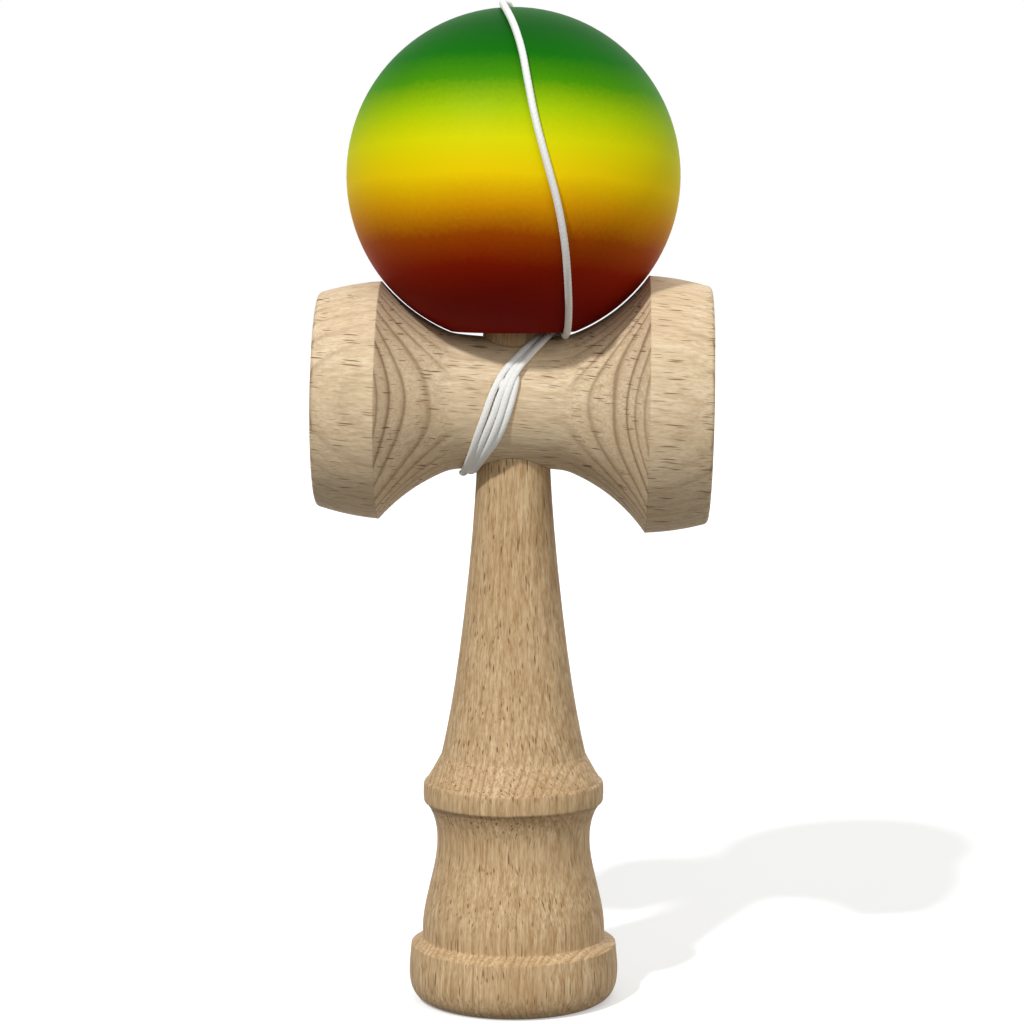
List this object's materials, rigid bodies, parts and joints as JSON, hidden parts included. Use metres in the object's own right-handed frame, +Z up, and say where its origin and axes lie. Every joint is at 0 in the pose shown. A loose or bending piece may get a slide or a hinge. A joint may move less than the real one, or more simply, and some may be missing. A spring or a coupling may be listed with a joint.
{
  "type": "kendama",
  "caption": "Wooden cup-and-ball skill toy: a turned handle with a spike, a cross piece with cups, and a painted ball with a hole, tied on by a white string wound round the waist.",
  "frame": {"origin": "centre of the base rim, on the surface that the handle stands on", "axes": "+Z up the handle to the spike and the ball, +X towards the big cup, -Y towards the side where the string lies over the ball"},
  "size_m": [0.0722, 0.0614, 0.1842],
  "materials": {
    "ken_wood": "sanded, unvarnished beech",
    "sarado_wood": "sanded, unvarnished beech",
    "ball_paint": "satin paint fading from green to dark red",
    "bead_wood": "plain turned wood",
    "string": "white braid"
  },
  "bodies": {
    "handle": {"ken": "ken_wood", "sarado": "sarado_wood", "sarado_knot": "string", "string_winding": "string"},
    "bead": {"bead": "bead_wood", "bead_knot": "string", "string_over_ball": "string"},
    "ball": {"tama": "ball_paint"}
  },
  "joints": [
    {"name": "tama_lift", "type": "slide", "parent": "handle", "child": "bead", "axis": [0, 0, 1], "range_m": [0, 0.045]},
    {"name": "tama_spin", "type": "hinge", "parent": "bead", "child": "ball", "pos_m": [0, 0, 0.152], "axis": [0, 0, 1], "continuous": true}
  ]
}
